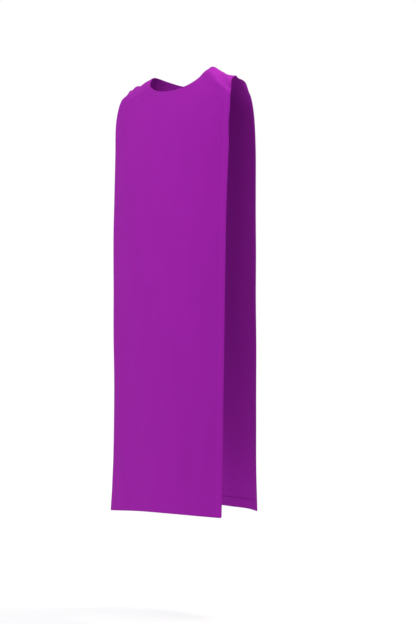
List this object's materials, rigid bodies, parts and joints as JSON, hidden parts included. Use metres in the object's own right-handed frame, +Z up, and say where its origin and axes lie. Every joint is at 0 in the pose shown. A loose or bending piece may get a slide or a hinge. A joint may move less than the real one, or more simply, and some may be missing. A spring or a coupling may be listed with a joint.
{
  "type": "scapular",
  "caption": "Long plain cloth scapular in its hollow worn form: a front and a back panel joined at short shoulder seams round a wide neck, open down both sides.",
  "frame": {"origin": "midway between the two neck points, at the height where the shoulder seams meet the neckline", "axes": "+X to the wearer's left, -Y to the wearer's front, +Z up"},
  "size_m": [0.3795, 0.2842, 1.1853],
  "materials": {
    "purple_cloth": "matt plain cloth"
  },
  "bodies": {
    "root": {"front_panel": "purple_cloth", "back_panel": "purple_cloth"}
  },
  "joints": []
}
